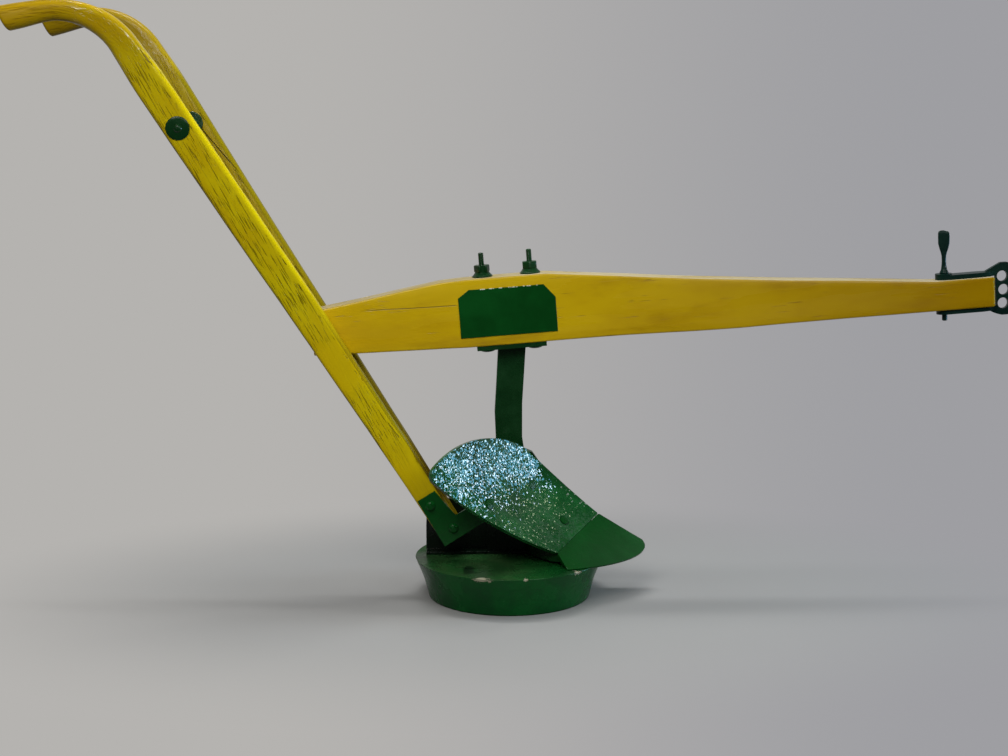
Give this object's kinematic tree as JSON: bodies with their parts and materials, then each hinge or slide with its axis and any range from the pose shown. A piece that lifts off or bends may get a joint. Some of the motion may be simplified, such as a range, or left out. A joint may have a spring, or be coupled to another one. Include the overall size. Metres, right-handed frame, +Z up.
{
  "type": "moldboard plough",
  "caption": "Walking moldboard plough with a wooden beam and handles, cast standard, twisted moldboard, share, hitch clevis and drop pin, standing on a round plinth.",
  "frame": {"origin": "centre of the plinth's round underside", "axes": "+X forward to the hitch, +Y to the land side, away from the moldboard's throw, +Z up"},
  "size_m": [1.767, 0.374, 1.0651],
  "materials": {
    "yellow_wood": "satin",
    "green_paint": "gloss",
    "plinth_paint": "satin"
  },
  "bodies": {
    "plough": {"plinth": "plinth_paint", "landside": "green_paint", "share": "green_paint", "moldboard": "green_paint", "standard": "green_paint", "beam": "yellow_wood", "nameplate": "green_paint", "beam_bolts": "green_paint", "beam_washers": "green_paint", "beam_nuts": "green_paint", "handle_right": "yellow_wood", "handle_left": "yellow_wood", "rung": "green_paint", "rung_caps": "green_paint", "handle_bracket": "green_paint", "bracket_bolts": "green_paint", "heel_bolts": "green_paint"},
    "clevis": {"clevis": "green_paint"},
    "hitch_pin": {"hitch_pin": "green_paint"}
  },
  "joints": [
    {"name": "clevis_swing", "type": "hinge", "parent": "plough", "child": "clevis", "pos_m": [0.79142, 0.005, 0.54999], "axis": [-0.075, 0, 0.9972], "range_deg": [-85, 85]},
    {"name": "pin_lift", "type": "slide", "parent": "clevis", "child": "hitch_pin", "axis": [-0.075, 0, 0.9972], "range_m": [0, 0.085]}
  ]
}
